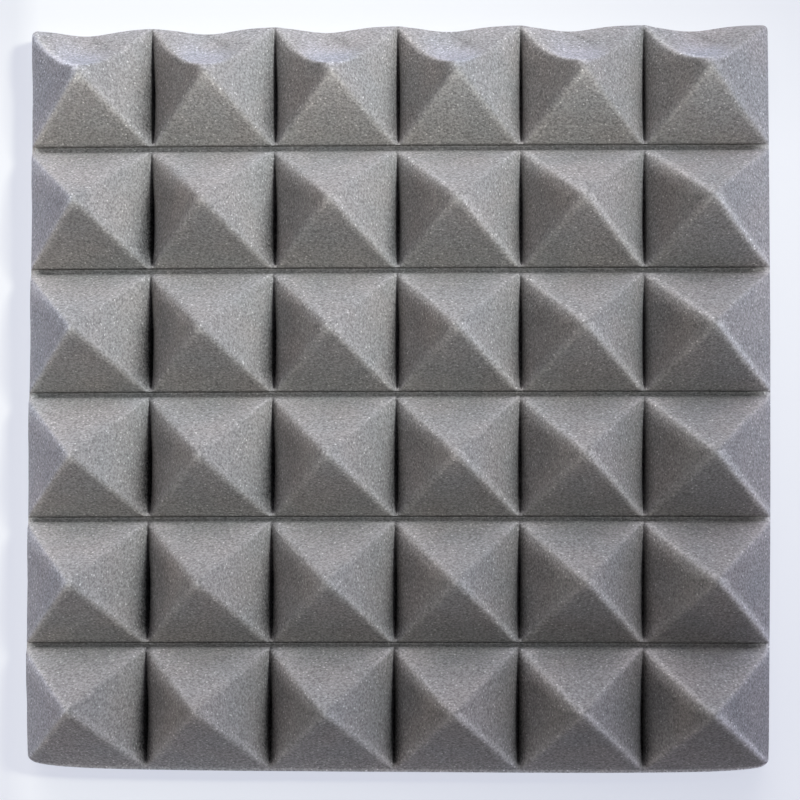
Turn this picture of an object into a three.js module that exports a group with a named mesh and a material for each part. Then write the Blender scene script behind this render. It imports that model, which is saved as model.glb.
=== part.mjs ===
// Acoustic foam wall tile: one block of open-cell foam with rows of square pyramids on its face,
// and the double-sided pads with their release liners that hold it to a wall.
// Millimetres. The tile lies on its back: +Z is its face, +Y is up and +X is right once it hangs.

import * as THREE from 'three';

// The foam block
const pyramidPitch = 50;
const pyramidsPerSide = 6;
const pyramidHeight = 35;
const slabThickness = 15;
const tipHalfWidth = 3;

// The block is cut a little inside the outer valleys, and a lip is left under the lowest row.
const sideTrim = 1;
const topTrim = 2;
const bottomLip = 1.5;
const upperCornerRadius = 2;
const lowerCornerRadius = 7;

// The upper faces of the top row are scooped, deepest in mid-face, and the scoop runs out over the edge.
const scoopDepth = 2.4;
const scoopAtEdge = 2;

// Knife cuts in the valleys. An upright valley has a slit that runs out before each crossing.
const slitWidth = 1.8;
const slitDepth = 7;
const slitEnd = 2;
// How long a slit stays deep before it runs out: 1 is a plain wedge, and more is fuller.
const slitFullness = 4;
// A level valley has a sunk strip below the foot of the row above. Its floor slopes on as that row's lower
// faces do, and its lower side is steep.
const stripWidth = 1.9;
const stripDepth = 2.7;
const stripWallShare = 0.15;

// The stick-on pads and their liners
const padSide = 30;
const padThickness = 1;
const padCornerRadius = 3;
const padInset = 20;
const linerThickness = 0.2;
const tabWidth = 14;
const tabLength = 7;

// Where a pyramid's face is divided between its tip and its foot, as shares of the way
const faceLineShares = [0.4, 0.7, 0.88];
// Lines nearer than this to a cut edge are left out, so that no sliver is made.
const leastStrip = 0.5;
const arcSegments = 3;

const halfPitch = pyramidPitch / 2;
const patternHalf = (pyramidsPerSide * pyramidPitch) / 2;
const tileHalfWidth = patternHalf - sideTrim;
const tileHalfHeight = patternHalf + (bottomLip - topTrim) / 2;
// The pattern's middle, seen from the middle of the cut block
const patternShift = (bottomLip + topTrim) / 2;
const foamBack = linerThickness + padThickness;
// A pyramid would be this high with a sharp tip: the rounding takes off the rest.
const sharpHeight = pyramidHeight / (1 - tipHalfWidth / (2 * halfPitch));

// The two directions of the pattern: how far its middle is off the block's middle, how far a pyramid's feet
// lie from its own middle, and where the one line that a cut has between two pyramids lies from their valley
const sideways = {
  shift: 0,
  lowFoot: halfPitch - slitWidth / 2,
  highFoot: halfPitch - slitWidth / 2,
  cutLine: 0,
};
const upwards = {
  shift: patternShift,
  lowFoot: halfPitch,
  highFoot: halfPitch - stripWidth,
  cutLine: -stripWidth * (1 - stripWallShare),
};

const foamMaterial = new THREE.MeshStandardMaterial({ color: 0x7c7b7b, roughness: 0.95, metalness: 0 });
const padMaterial = new THREE.MeshStandardMaterial({ color: 0xe6e4de, roughness: 0.8, metalness: 0 });
const linerMaterial = new THREE.MeshStandardMaterial({ color: 0xf2e9c8, roughness: 0.45, metalness: 0 });

// Middle of the pyramid whose pitch holds a coordinate
function pyramidMiddle(coordinate, direction) {
  const inPattern = coordinate - direction.shift + patternHalf;
  const cell = THREE.MathUtils.clamp(Math.floor(inPattern / pyramidPitch), 0, pyramidsPerSide - 1);
  return direction.shift - patternHalf + cell * pyramidPitch + halfPitch;
}

// Place of a coordinate on its pyramid, where 0 is the middle and 1 and -1 are the feet
function placeOnPyramid(coordinate, direction) {
  const fromMiddle = coordinate - pyramidMiddle(coordinate, direction);
  const foot = fromMiddle < 0 ? direction.lowFoot : direction.highFoot;
  return THREE.MathUtils.clamp(fromMiddle / foot, -1, 1);
}

// Height over the valleys: flat faces below, and a parabola over the blunt tip
function pyramidRise(across, up) {
  const fromMiddle = Math.max(Math.abs(across), Math.abs(up)) * halfPitch;
  if (fromMiddle >= tipHalfWidth) {
    return sharpHeight * (1 - fromMiddle / halfPitch);
  }
  const rounding = (tipHalfWidth + fromMiddle ** 2 / tipHalfWidth) / 2;
  return sharpHeight * (1 - rounding / halfPitch);
}

// Depth of the slit at a point: an open wedge across the valley, deepest midway between two crossings
function slit(x, up) {
  const fromValley = halfPitch - Math.abs(x - pyramidMiddle(x, sideways));
  if (fromValley > slitWidth / 2 || Math.abs(x) > patternHalf - halfPitch) {
    return 0;
  }
  const reach = 1 - slitEnd / halfPitch;
  const alongShare = Math.max(0, 1 - Math.abs(up / reach) ** slitFullness);
  return slitDepth * alongShare * (1 - fromValley / (slitWidth / 2));
}

// Depth of the strip at a height on the tile
function strip(y) {
  const belowValley = pyramidMiddle(y, upwards) + halfPitch - y;
  if (belowValley > stripWidth || y > upwards.shift + patternHalf - halfPitch) {
    return 0;
  }
  const wall = stripWidth * stripWallShare;
  return stripDepth * Math.min(belowValley / (stripWidth - wall), (stripWidth - belowValley) / wall);
}

// How far a point of the top row's upper faces is pushed down the tile
function scoop(y, across, up) {
  if (y < patternShift + patternHalf - halfPitch) {
    return 0;
  }
  const betweenValleys = 1 - across ** 2;
  return betweenValleys * (scoopDepth * Math.sin(Math.PI * up) + scoopAtEdge * up ** 2);
}

// Draws a square corner in to a quarter circle, without moving what lies outside the corner.
function roundCorner(x, y) {
  const radius = y < 0 ? lowerCornerRadius : upperCornerRadius;
  const alongX = Math.abs(x) - (tileHalfWidth - radius);
  const alongY = Math.abs(y) - (tileHalfHeight - radius);
  if (alongX <= 0 || alongY <= 0) {
    return [x, y];
  }
  const draw = Math.max(alongX, alongY) / Math.hypot(alongX, alongY);
  return [
    Math.sign(x) * (tileHalfWidth - radius + alongX * draw),
    Math.sign(y) * (tileHalfHeight - radius + alongY * draw),
  ];
}

// Lines through tips, faces, feet and cuts in one direction, between the two cut edges of the block
function gridLines(halfSize, direction) {
  const shares = [tipHalfWidth / halfPitch, ...faceLineShares, 1];
  const lines = [];
  for (let cell = 0; cell < pyramidsPerSide; cell += 1) {
    const middle = direction.shift - patternHalf + cell * pyramidPitch + halfPitch;
    lines.push(...shares.map((share) => middle - share * direction.lowFoot).reverse());
    lines.push(middle);
    lines.push(...shares.map((share) => middle + share * direction.highFoot));
    lines.push(middle + halfPitch + direction.cutLine);
  }
  const kept = lines.filter((line) => Math.abs(line) < halfSize - leastStrip);
  return [-halfSize, ...kept, halfSize];
}

// The block: the pyramid face as a grid whose diagonals follow the ridges, the four cut walls and the back
function foamGeometry() {
  const columns = gridLines(tileHalfWidth, sideways);
  const rows = gridLines(tileHalfHeight, upwards);
  const positions = [];
  const triangles = [];
  for (const y of rows) {
    for (const x of columns) {
      const across = placeOnPyramid(x, sideways);
      const up = placeOnPyramid(y, upwards);
      const [faceX, faceY] = roundCorner(x, y);
      const height = slabThickness + pyramidRise(across, up) - slit(x, up) - strip(y);
      positions.push(faceX, faceY - scoop(y, across, up), height);
    }
  }
  const at = (column, row) => row * columns.length + column;
  for (let row = 0; row + 1 < rows.length; row += 1) {
    for (let column = 0; column + 1 < columns.length; column += 1) {
      const across = placeOnPyramid((columns[column] + columns[column + 1]) / 2, sideways);
      const up = placeOnPyramid((rows[row] + rows[row + 1]) / 2, upwards);
      const [a, b] = [at(column, row), at(column + 1, row)];
      const [c, d] = [at(column + 1, row + 1), at(column, row + 1)];
      if (across * up > 0) {
        triangles.push(a, b, c, a, c, d);
      } else {
        triangles.push(a, b, d, b, c, d);
      }
    }
  }

  // Round the edge of the face, anticlockwise seen from the front
  const lastColumn = columns.length - 1;
  const lastRow = rows.length - 1;
  const rim = [];
  for (let column = 0; column < lastColumn; column += 1) rim.push([column, 0]);
  for (let row = 0; row < lastRow; row += 1) rim.push([lastColumn, row]);
  for (let column = lastColumn; column > 0; column -= 1) rim.push([column, lastRow]);
  for (let row = lastRow; row > 0; row -= 1) rim.push([0, row]);

  const firstBack = positions.length / 3;
  for (const [column, row] of rim) {
    positions.push(...roundCorner(columns[column], rows[row]), 0);
  }
  const backMiddle = positions.length / 3;
  positions.push(0, 0, 0);
  for (let step = 0; step < rim.length; step += 1) {
    const next = (step + 1) % rim.length;
    const face = at(...rim[step]);
    const faceNext = at(...rim[next]);
    const back = firstBack + step;
    const backNext = firstBack + next;
    triangles.push(back, backNext, faceNext, back, faceNext, face);
    triangles.push(backMiddle, backNext, back);
  }
  const geometry = new THREE.BufferGeometry();
  geometry.setAttribute('position', new THREE.Float32BufferAttribute(positions, 3));
  geometry.setIndex(triangles);
  geometry.computeVertexNormals();
  return geometry;
}

// Outline of a pad, anticlockwise from its lower side, with a finger tab on its right side where asked
function padOutline(withTab) {
  const half = padSide / 2;
  const straight = half - padCornerRadius;
  const outline = new THREE.Shape();
  outline.moveTo(-straight, -half);
  outline.lineTo(straight, -half);
  outline.absarc(straight, -straight, padCornerRadius, -Math.PI / 2, 0);
  if (withTab) {
    const tabRadius = Math.min(tabWidth / 2, tabLength);
    const tabStraight = tabWidth / 2 - tabRadius;
    const tabEnd = half + tabLength - tabRadius;
    outline.lineTo(half, -tabWidth / 2);
    outline.lineTo(tabEnd, -tabWidth / 2);
    outline.absarc(tabEnd, -tabStraight, tabRadius, -Math.PI / 2, 0);
    outline.absarc(tabEnd, tabStraight, tabRadius, 0, Math.PI / 2);
    outline.lineTo(half, tabWidth / 2);
  }
  outline.absarc(straight, straight, padCornerRadius, 0, Math.PI / 2);
  outline.absarc(-straight, straight, padCornerRadius, Math.PI / 2, Math.PI);
  outline.absarc(-straight, -straight, padCornerRadius, Math.PI, (3 * Math.PI) / 2);
  return outline;
}

function padLayer(name, outline, depth, material) {
  const settings = { depth, bevelEnabled: false, curveSegments: arcSegments };
  const geometry = new THREE.ExtrudeGeometry(outline, settings);
  const layer = new THREE.Mesh(geometry, material);
  layer.name = name;
  return layer;
}

// A liner on the outside and a pad over it. The finger tab points towards the middle of the tile.
function stickOnPad(place, x, y) {
  const pair = new THREE.Group();
  const liner = padLayer(`release_liner_${place}`, padOutline(true), linerThickness, linerMaterial);
  const pad = padLayer(`mounting_pad_${place}`, padOutline(false), padThickness, padMaterial);
  pad.position.z = linerThickness;
  pair.add(liner, pad);
  pair.position.set(x, y, 0);
  pair.rotation.z = x > 0 ? Math.PI : 0;
  return pair;
}

const tile = new THREE.Group();

const foam = new THREE.Mesh(foamGeometry(), foamMaterial);
foam.name = 'foam_tile';
foam.position.z = foamBack;
tile.add(foam);

const padX = tileHalfWidth - padInset - padSide / 2;
const padY = tileHalfHeight - padInset - padSide / 2;
tile.add(
  stickOnPad('upper_left', -padX, padY),
  stickOnPad('upper_right', padX, padY),
  stickOnPad('lower_left', -padX, -padY),
  stickOnPad('lower_right', padX, -padY),
  stickOnPad('centre', 0, 0),
);

export default tile;
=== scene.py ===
"""Looks of an acoustic foam wall tile: one block of grey open-cell foam with rows of pyramids on its face,
and the stick-on pads with release liners on its back. Metres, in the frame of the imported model."""

import math

import bpy
import numpy as np
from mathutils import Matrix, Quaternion, Vector


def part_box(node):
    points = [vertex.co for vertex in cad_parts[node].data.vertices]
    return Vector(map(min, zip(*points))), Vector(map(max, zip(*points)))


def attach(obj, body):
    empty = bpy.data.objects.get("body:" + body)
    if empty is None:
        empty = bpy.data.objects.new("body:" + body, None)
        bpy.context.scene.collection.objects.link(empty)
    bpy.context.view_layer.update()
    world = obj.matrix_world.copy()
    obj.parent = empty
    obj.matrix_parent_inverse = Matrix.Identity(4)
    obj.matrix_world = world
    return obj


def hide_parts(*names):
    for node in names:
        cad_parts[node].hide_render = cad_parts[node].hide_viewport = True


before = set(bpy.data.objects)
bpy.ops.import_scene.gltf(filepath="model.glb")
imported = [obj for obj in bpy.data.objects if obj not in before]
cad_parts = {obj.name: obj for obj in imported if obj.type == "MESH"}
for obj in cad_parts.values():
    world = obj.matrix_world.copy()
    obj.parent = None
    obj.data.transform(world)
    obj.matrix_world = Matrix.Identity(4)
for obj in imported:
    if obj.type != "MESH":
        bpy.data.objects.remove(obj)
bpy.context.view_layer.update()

MM = 0.001

# The foam block, in millimetres, as the solids have it
PYRAMID_PITCH = 50.0
PYRAMIDS_PER_SIDE = 6
PYRAMID_HEIGHT = 35.0
SLAB_THICKNESS = 15.0
TOP_TRIM = 2.0
BOTTOM_LIP = 1.5
UPPER_CORNER_RADIUS = 2.0
LOWER_CORNER_RADIUS = 7.0
SLIT_WIDTH = 1.8
STRIP_WIDTH = 1.9
STRIP_DEPTH = 2.7

HALF_PITCH = PYRAMID_PITCH / 2
PATTERN_HALF = PYRAMIDS_PER_SIDE * PYRAMID_PITCH / 2
PATTERN_SHIFT = (BOTTOM_LIP + TOP_TRIM) / 2

# A pyramid's feet, from its middle: beside a slit, under a strip, and over one
SIDE_FOOT = HALF_PITCH - SLIT_WIDTH / 2
UPPER_FOOT = HALF_PITCH - STRIP_WIDTH
LOWER_FOOT = HALF_PITCH

# Four values for ridges or their lines are for the upper left, upper right, lower left and lower right
# quarter of a pyramid, in this order

# Softness of the cut foam: how far ridges are rounded, the share of that by quarter, the distance from its
# foot in which a ridge gains its rounding, and how round the tips and the block's rim are
RIDGE_ROUNDING = 2.8
RIDGE_SHARES = (1.0, 0.4, 1.0, 1.0)
RIDGE_FADES = (0.6, 2.0, 2.0, 2.0)
TIP_ROUNDING = 1.7
RIM_ROUNDING = 1.2
RIM_WIDTH = 1.0
# The upper half of each left face swells towards its foot
LEFT_SWELL = 1.0
LEFT_SWELL_REACH = 10.0

# How far a slit's ends lie from the crossings, and its depth, of which it has these shares at shares of its
# length: it gets shallower towards its upper end
SLIT_END = 1.2
SLIT_DEPTH = 8.0
SLIT_PLACES = (0.0, 0.5, 0.75, 1.0)
SLIT_SHARES = (0.7, 0.6, 0.35, 0.12)
# How blunt its ends are, where less is blunter, how soon it is at full depth, and how soft its walls are
SLIT_FORM = 0.45
SLIT_STEEPNESS = 1.5
SLIT_EDGE = 0.07
# Its right wall is straight, and its left wall opens between its ends, most below: shares of half its width
RIGHT_WALL = 0.6
LEFT_WALL = 0.25
LEFT_WALL_OPENING = 0.65
LEFT_WALL_CLOSING = 0.6
# It draws its lips down, most at a third of its length, and its right lip more narrowly
LIP_DROP = 4.8
LIP_WIDTH = 2.7
END_LIP_SHARE = 0.4
RIGHT_LIP_SHARE = 0.55
LIP_FORM = 0.6
LIP_FALL = 1.3

# The strip at the foot of a row ends in a notch under the row above, draws down the foot below it, and runs
# out within these lengths of the tile's left and right side
NOTCH_DEPTH = 1.3
NOTCH_WIDTH = 0.24
FOOT_DROP = 1.0
FOOT_WIDTH = 1.1
STRIP_FADE_LEFT = 4.0
STRIP_FADE_RIGHT = 9.0

# Painted light and shade on the foam's face: the shares that its grey gains, a painted highlight above 0 and
# painted shade below it. A growth is what a tone gains from the tile's middle to its right edge, and loses
# to its left one. A corner growth is what it gains towards the lower right corner: downwards from the start,
# as a share of half the tile, up to the most, times a share that has this value in the middle and this slope
# across.
CORNER_START = 0.35
CORNER_MOST = 1.05
CORNER_AT_MIDDLE = 0.2
CORNER_SLOPE = 0.4
# How far, in millimetres, one face blends into the next: in its painted tone, and in its painted tint
TONE_BLEND = 2.0
TINT_BLEND = 1.5

# Painted highlights along the ridges, and a faint painted shade on the upper right ones: half their width,
# how far the lower right one lies on the right face, and how near the foot they run out. Their tones, and
# the growth of the upper left and lower right ones.
RIDGE_LINE = 1.45
LOWER_RIGHT_SHIFT = 0.7
LINE_FADE = 1.0
LINE_TONES = (0.17, -0.07, 0.33, 0.28)
BRIGHT_RIDGES = (1, 0, 0, 1)
LINE_GROWTH = 0.36
# What those two gain below a height, as a share of half the tile, and what all gain towards the corner
LOW_LINE_START = -0.4
LOW_LINE_GROWTH = 0.25
LINE_CORNER_GROWTH = (-0.1, 0.25, 0.0, 0.45)
# What the lines gain in the leftmost column and on the outermost right halves. The top row's own lines,
# and what these gain from the middle to the right edge.
LEFT_EDGE_LINES = (0.38, 0.0, 0.25, 0.16)
RIGHT_EDGE_LINES = (0.0, 0.12, 0.0, 0.15)
TOP_ROW_LINES = (0.3, 0.0, 0.3, 0.12)
TOP_ROW_LINE_GROWTH = (0.3, 0.0, 0.0, 0.0)
# A painted highlight on the round shoulder of an upper left ridge, on the left face: how pale, how far from
# the ridge and how wide
SHOULDER_PALENESS = 0.6
SHOULDER_GROWTH = 0.25
SHOULDER_PLACE = 2.4
SHOULDER_WIDTH = 2.2

# Painted light at the feet by a level valley: the upper face's foot, its corner growth and that of the lower
# face's foot, how far up a foot reaches, and the share that is left at the block's upper and lower edge
UPPER_FOOT_PALENESS = 0.16
UPPER_FOOT_GROWTH = 0.85
LOWER_FOOT_GROWTH = 0.6
FOOT_REACH = 3.3
EDGE_FOOT_SHARE = 0.2
# Painted light on the strip, from the upper face's foot to the notch, its corner growth, and what it gains
# to the right edge
STRIP_TONES = (0.35, 0.05)
STRIP_CORNER_GROWTH = 1.3
STRIP_RIGHT_GROWTH = 0.3
# Painted light: the block's lower rim is paler, and cooler
RIM_PALENESS = 0.35
RIM_REACH = 1.2

# Painted light and shade: all faces are paler below this share of their height and darker above it, the
# inner left ones more
DEPTH_PALENESS = 0.28
LEFT_DEPTH_PALENESS = 0.22
DEPTH_MIDDLE = 0.4
# Painted shade on the inner left faces: tone, growth, its share in the top row, and gains in the lowest row
# and at the tips
LEFT_TONE = -0.06
LEFT_TONE_GROWTH = -0.11
TOP_ROW_GROWTH_SHARE = 0.2
LEFT_TONE_AT_BOTTOM = -0.12
LEFT_TIP_TONE = -0.17
# Painted light and shade by face. The right faces: tone and growth. The upper and right ones: corner growth.
# The lower ones: what they gain to the upper right and the lower left.
RIGHT_TONE = -0.025
RIGHT_TONE_GROWTH = 0.05
BRIGHT_CORNER_GROWTH = -0.07
LOWER_TONE_TWIST = 0.15
# Painted light in the top row: its lower faces get paler from this start at the foot to the tip. Painted
# shade: its upper faces are darker.
TOP_ROW_PALENESS = 0.5
TOP_ROW_START = 0.05
TOP_ROW_UPPER_PALENESS = -0.15
# A painted patch of paler, cooler light above each tip of the top row: how pale, its middle's height and
# half its height as shares of the upper face, half its width, how far it lies to the left, its slope, and
# how far past the ridges it reaches
PATCH_PALENESS = 0.27
PATCH_HEIGHT = 0.33
PATCH_HALF_HEIGHT = 0.36
PATCH_HALF_WIDTH = 11.0
PATCH_LEFT = 2.0
PATCH_SLOPE = 0.014
PATCH_PAST_RIDGE = 1.2

# Painted cool tints of light on the rightmost and the lowest faces, where the leftmost ones have 1
RIGHTMOST_COOLNESS = 0.25
LOWEST_COOLNESS = 0.5
# Painted warm tint of light on the lower faces, and on the inner left ones at a ridge, which grows by 1 in
# this distance
LOWER_WARMTH = 0.8
LEFT_WARMTH = 0.3
WARM_REACH = 9.0

# Painted shade along a slit, at shares of its length from its lower end: how dark, and how wide in
# millimetres, on the pyramid's right face, to the slit's left, and on the next one's left face. Then how
# steeply it falls off, and its most.
SHADE_PLACES = (0.0, 0.05, 0.17, 0.5, 0.83, 1.0)
SHADE_RIGHT = (0.0, 0.5, 0.78, 0.76, 0.25, 0.1)
SHADE_RIGHT_WIDTH = (1.5, 2.6, 3.9, 3.0, 2.1, 1.8)
SHADE_LEFT = (0.0, 0.65, 0.8, 0.7, 0.6, 0.5)
SHADE_LEFT_WIDTH = (1.5, 2.2, 2.6, 2.2, 1.8, 1.6)
SHADE_FALL = 1.9
DARKEST_SHADE = 0.95
# On the right faces it is stronger to the left, weaker in the top row, and narrower below a height. On the
# left faces it is stronger towards the lower edge and weaker towards the right one.
SHADE_LEFTWARDS = 0.42
SHADE_IN_TOP_ROW = 0.8
SHADE_NARROWING_START = -0.3
SHADE_NARROWING = 0.5
SHADE_DOWNWARDS = 0.4
SHADE_RIGHTWARDS = -0.25
# Painted shade in the strips: how dark, and its middle and reach as shares of the strip's width
STRIP_SHADE = 0.36
STRIP_SHADE_MIDDLE = 0.55
STRIP_SHADE_REACH = 0.75

# The top row is a little lower and leans upwards, and its upper faces are scooped: how deep, at shares of
# the way from tip to edge. The scoop is widest inside and narrow at the edge, where it is deeper in the
# outer columns. It fades out beside the upright valleys, and lies left of the pyramid's middle, more so in
# the columns farther right.
TOP_ROW_SHARE = 0.87
TOP_ROW_LEAN = 0.9
SCOOP_SHARES = [0.0, 0.04, 0.1, 0.2, 0.3, 0.4, 0.5, 0.6, 0.7, 0.8, 0.9]
SCOOP_DEPTHS = [0.0, -1.4, -0.6, 0.8, 2.0, 2.8, 3.5, 4.1, 4.0, 3.5, 2.9]
SCOOP_AT_EDGE = 0.9
SCOOP_GROWTH = 0.17
SCOOP_WIDTH = 19.0
SCOOP_WIDTH_AT_EDGE = 11.5
SCOOP_FADE = 4.0
SCOOP_LEFT = 1.8
SCOOP_LEFT_GROWTH = 0.95
# A short wrinkle runs from near the scoop's upper end down to the right: how deep it is, how dark its
# painted shade is, how wide it is, how full it starts, how far it goes on past its ends, and where these
# lie, from the scoop's middle and from just below the upper edge
WRINKLE_DEPTH = 1.0
WRINKLE_SHADE = 0.3
WRINKLE_WIDTH = 0.9
WRINKLE_FORM = 0.15
WRINKLE_OVERRUN = 0.2
WRINKLE_START = (2.0, -2.6)
WRINKLE_END = (12.0, -8.5)

# The tile isn't quite regular: how far the valleys stray, and how far the tips lean besides, in
# millimetres. Each list holds the factors of 1, y, y squared, x, x times y and x squared, with x and y as
# shares of half the tile and no more than the limit. The valleys stray freely up to the last share, and
# less and less from there to the edge.
STRAY_X = (0.27, 0.81, -0.57, -0.34, 0.34, -0.69)
STRAY_Y = (0.28, 0.42, -0.85, 0.11, -0.56, -0.26)
LEAN_X = (-0.02, -0.49, 0.99, 0.8, -0.85, -0.27)
LEAN_Y = (-1.23, -0.14, 2.43, 0.63, 0.15, 0.5)
STRAY_LIMIT = 0.9
STRAY_FREE = 0.67
# How far the lowest row's tips lean besides, to the right and up: in the middle, and its growth rightwards
LOWEST_ROW_LEAN = (-1.1, -1.8)
LOWEST_ROW_LEAN_GROWTH = (-1.0, -1.1)

# The edges aren't quite straight. The sides stand out past the block's edges by these millimetres at shares
# of half its height. The upper and lower edges are barrelled: by how much more in the middle, by how much
# at the ends, where the upper one's middle lies, and how deep into the block a bow is felt.
SIDE_PLACES = (-1.0, -0.9, -0.65, -0.35, -0.15, 0.15, 0.55, 0.9, 1.0)
LEFT_BOW = (-0.9, -0.3, 0.25, 0.1, 0.3, 0.05, 0.0, 0.3, 0.5)
RIGHT_BOW = (-1.1, -0.7, -0.2, 0.45, 0.7, 1.0, 1.0, 0.9, 0.8)
TOP_BOW = 1.0
TOP_BOW_START = 0.35
TOP_BOW_MIDDLE = -25.0
BOTTOM_BOW = 1.5
BOTTOM_BOW_START = -1.2
BOW_REACH = 12.0
# The lower edge rises towards the lower corners, whose radius is this share of the solid's
CORNER_LIFT = 2.2
CORNER_LIFT_REACH = 9.0
CORNER_RADIUS_SHARE = 0.6

# Slow unevenness of the cut faces: waves that cross, each pair turned and shifted further, in radians
WAVE_HEIGHT = 0.12
WAVE_LENGTHS = (17.0, 23.0, 31.0)
WAVE_CROSS_SHARE = 1.4
WAVE_TURN = 0.7
WAVE_TURN_STEP = 1.9
WAVE_PHASE_STEP = 2.1

# Places of the grid's lines beside a valley and beside a cut edge, in millimetres, the even steps from a
# pyramid's middle to its foot, of which the last few give way to the lines beside the valley, and the steps
# from the rim down to the back
COLUMN_PLACES = [0.0, 0.4, 0.7, 0.9, 1.15, 1.6, 2.2, 3.0, 3.9]
ROW_PLACES_ABOVE = [0.0, 0.2, 0.4, 0.7, 1.1, 1.8, 2.9]
ROW_PLACES_BELOW = [0.2, 0.4, 0.9, 1.7, 1.9, 2.1, 2.6, 3.4, 4.6]
RIM_PLACES = [0.0, 0.3, 0.8]
FACE_STEPS = 19
FACE_STEPS_KEPT = 16
WALL_STEPS = 4

# Edges sharper than these stay sharp, in degrees
SHARP_FOAM = 55
SHARP_TAPE = 40
SHARP_PAPER = 30

# The pads and liners, in millimetres, as the solids have them
PAD_SIDE = 30.0
PAD_CORNER = 3.0
TAB_WIDTH = 14.0
TAB_LENGTH = 7.0
# How far a liner's tab curls up, and how far a pad's side bulges out in each of two steps
TAB_CURL = 0.55
PAD_BULGE = 0.25
PLACES = ("upper_left", "upper_right", "lower_left", "lower_right", "centre")


def clear_selection():
    if bpy.context.mode != "OBJECT":
        bpy.ops.object.mode_set(mode="OBJECT")
    bpy.ops.object.select_all(action="DESELECT")


# Camera


def make_camera():
    """The photograph's view: nearly square on, from a metre away, a little below and right of the middle."""
    distance = 1013.0 * MM
    place = Vector((53.5 * MM, -62.15 * MM, distance))
    turn = Vector((3.49, 2.978, 0.008))
    focal_pixels = 2484.2
    image_pixels = 800
    bpy.ops.object.camera_add(location=place)
    camera = bpy.context.object
    camera.name = "photo_camera"
    camera.rotation_mode = "QUATERNION"
    camera.rotation_quaternion = Quaternion(turn.normalized(), math.radians(turn.length))
    camera.data.sensor_width = 36.0
    camera.data.lens = focal_pixels * camera.data.sensor_width / image_pixels
    camera.data.clip_start = 0.05
    bpy.context.scene.camera = camera


# Foam shape


def half_lines(foot, places):
    """Distances from a pyramid's middle: even steps to its foot, then the places beside the valley."""
    even = foot * np.arange(FACE_STEPS_KEPT + 1) / FACE_STEPS
    return np.concatenate([even, HALF_PITCH - np.array(places)])


def grid_lines(half_size, shift, low_half, high_half):
    """Lines through all pyramids in one direction, kept between the block's two cut edges."""
    lines = []
    for cell in range(PYRAMIDS_PER_SIDE):
        middle = shift - PATTERN_HALF + (cell + 0.5) * PYRAMID_PITCH
        lines.append(middle - low_half)
        lines.append(middle + high_half)
    lines = np.unique(np.round(np.concatenate(lines), 3))
    rim = np.array(RIM_PLACES)
    least_gap = 0.2
    inner = lines[np.abs(lines) < half_size - rim[-1] - least_gap]
    return np.concatenate([rim - half_size, inner, half_size - rim[::-1]])


def soft_least(first, second, width):
    """The lesser of two heights, rounded where they are nearer than width to each other."""
    near = np.clip(width - np.abs(first - second), 0, None) / np.maximum(width, 1e-6)
    return np.minimum(first, second) - near**2 * width / 4


def in_cell(place, shift):
    """Place in a pyramid's pitch, from 0 at its low valley to the pitch at its high valley."""
    cell = np.clip(np.floor((place - shift + PATTERN_HALF) / PYRAMID_PITCH), 0, PYRAMIDS_PER_SIDE - 1)
    return place - shift + PATTERN_HALF - cell * PYRAMID_PITCH


def in_top_row(y):
    """Whether each place lies above the highest level valley."""
    return y > PATTERN_SHIFT + PATTERN_HALF - PYRAMID_PITCH


def by_quarter(x, y, values):
    """For each place, the value for its quarter: upper left, upper right, lower left or lower right."""
    right = in_cell(x, 0) > HALF_PITCH
    upper = in_cell(y, PATTERN_SHIFT) > HALF_PITCH
    return np.where(upper, np.where(right, values[1], values[0]), np.where(right, values[3], values[2]))


def face_distance(from_middle, foot):
    """Height over the foot, as a distance: a straight face with a rounded tip."""
    rounded = np.sqrt(from_middle**2 + TIP_ROUNDING**2)
    return np.maximum(HALF_PITCH * (1 - rounded / foot), 0)


def face_distances(x, y):
    """The height that a pyramid's side faces would give at each place, and its upper and lower faces."""
    across = in_cell(x, 0) - HALF_PITCH
    up = in_cell(y, PATTERN_SHIFT) - HALF_PITCH
    foot = np.where(up > 0, UPPER_FOOT, LOWER_FOOT)
    sideways = face_distance(across, SIDE_FOOT)
    swell = LEFT_SWELL * np.clip(up / LEFT_SWELL_REACH, 0, 1) * (1 - sideways / HALF_PITCH)
    return sideways + np.where(across < 0, swell, 0), face_distance(up, foot)


def pyramid_rise(x, y):
    """Height of the foam face over its valleys, at places on the block, all in millimetres."""
    sideways, upwards = face_distances(x, y)
    least = np.minimum(sideways, upwards)
    fade = by_quarter(x, y, RIDGE_FADES)
    width = RIDGE_ROUNDING * by_quarter(x, y, RIDGE_SHARES) * (1 - np.exp(-least / fade))
    top = HALF_PITCH - TIP_ROUNDING
    height = np.where(in_top_row(y), TOP_ROW_SHARE, 1.0) * PYRAMID_HEIGHT
    return height / top * soft_least(sideways, upwards, width)


def to_lower_right(x, y):
    """How far each place lies towards the tile's lower right corner, from 0 to about 0.6."""
    down = np.clip(CORNER_START - y / PATTERN_HALF, 0, CORNER_MOST)
    return down * np.clip(CORNER_AT_MIDDLE + CORNER_SLOPE * x / PATTERN_HALF, 0, 1)


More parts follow.
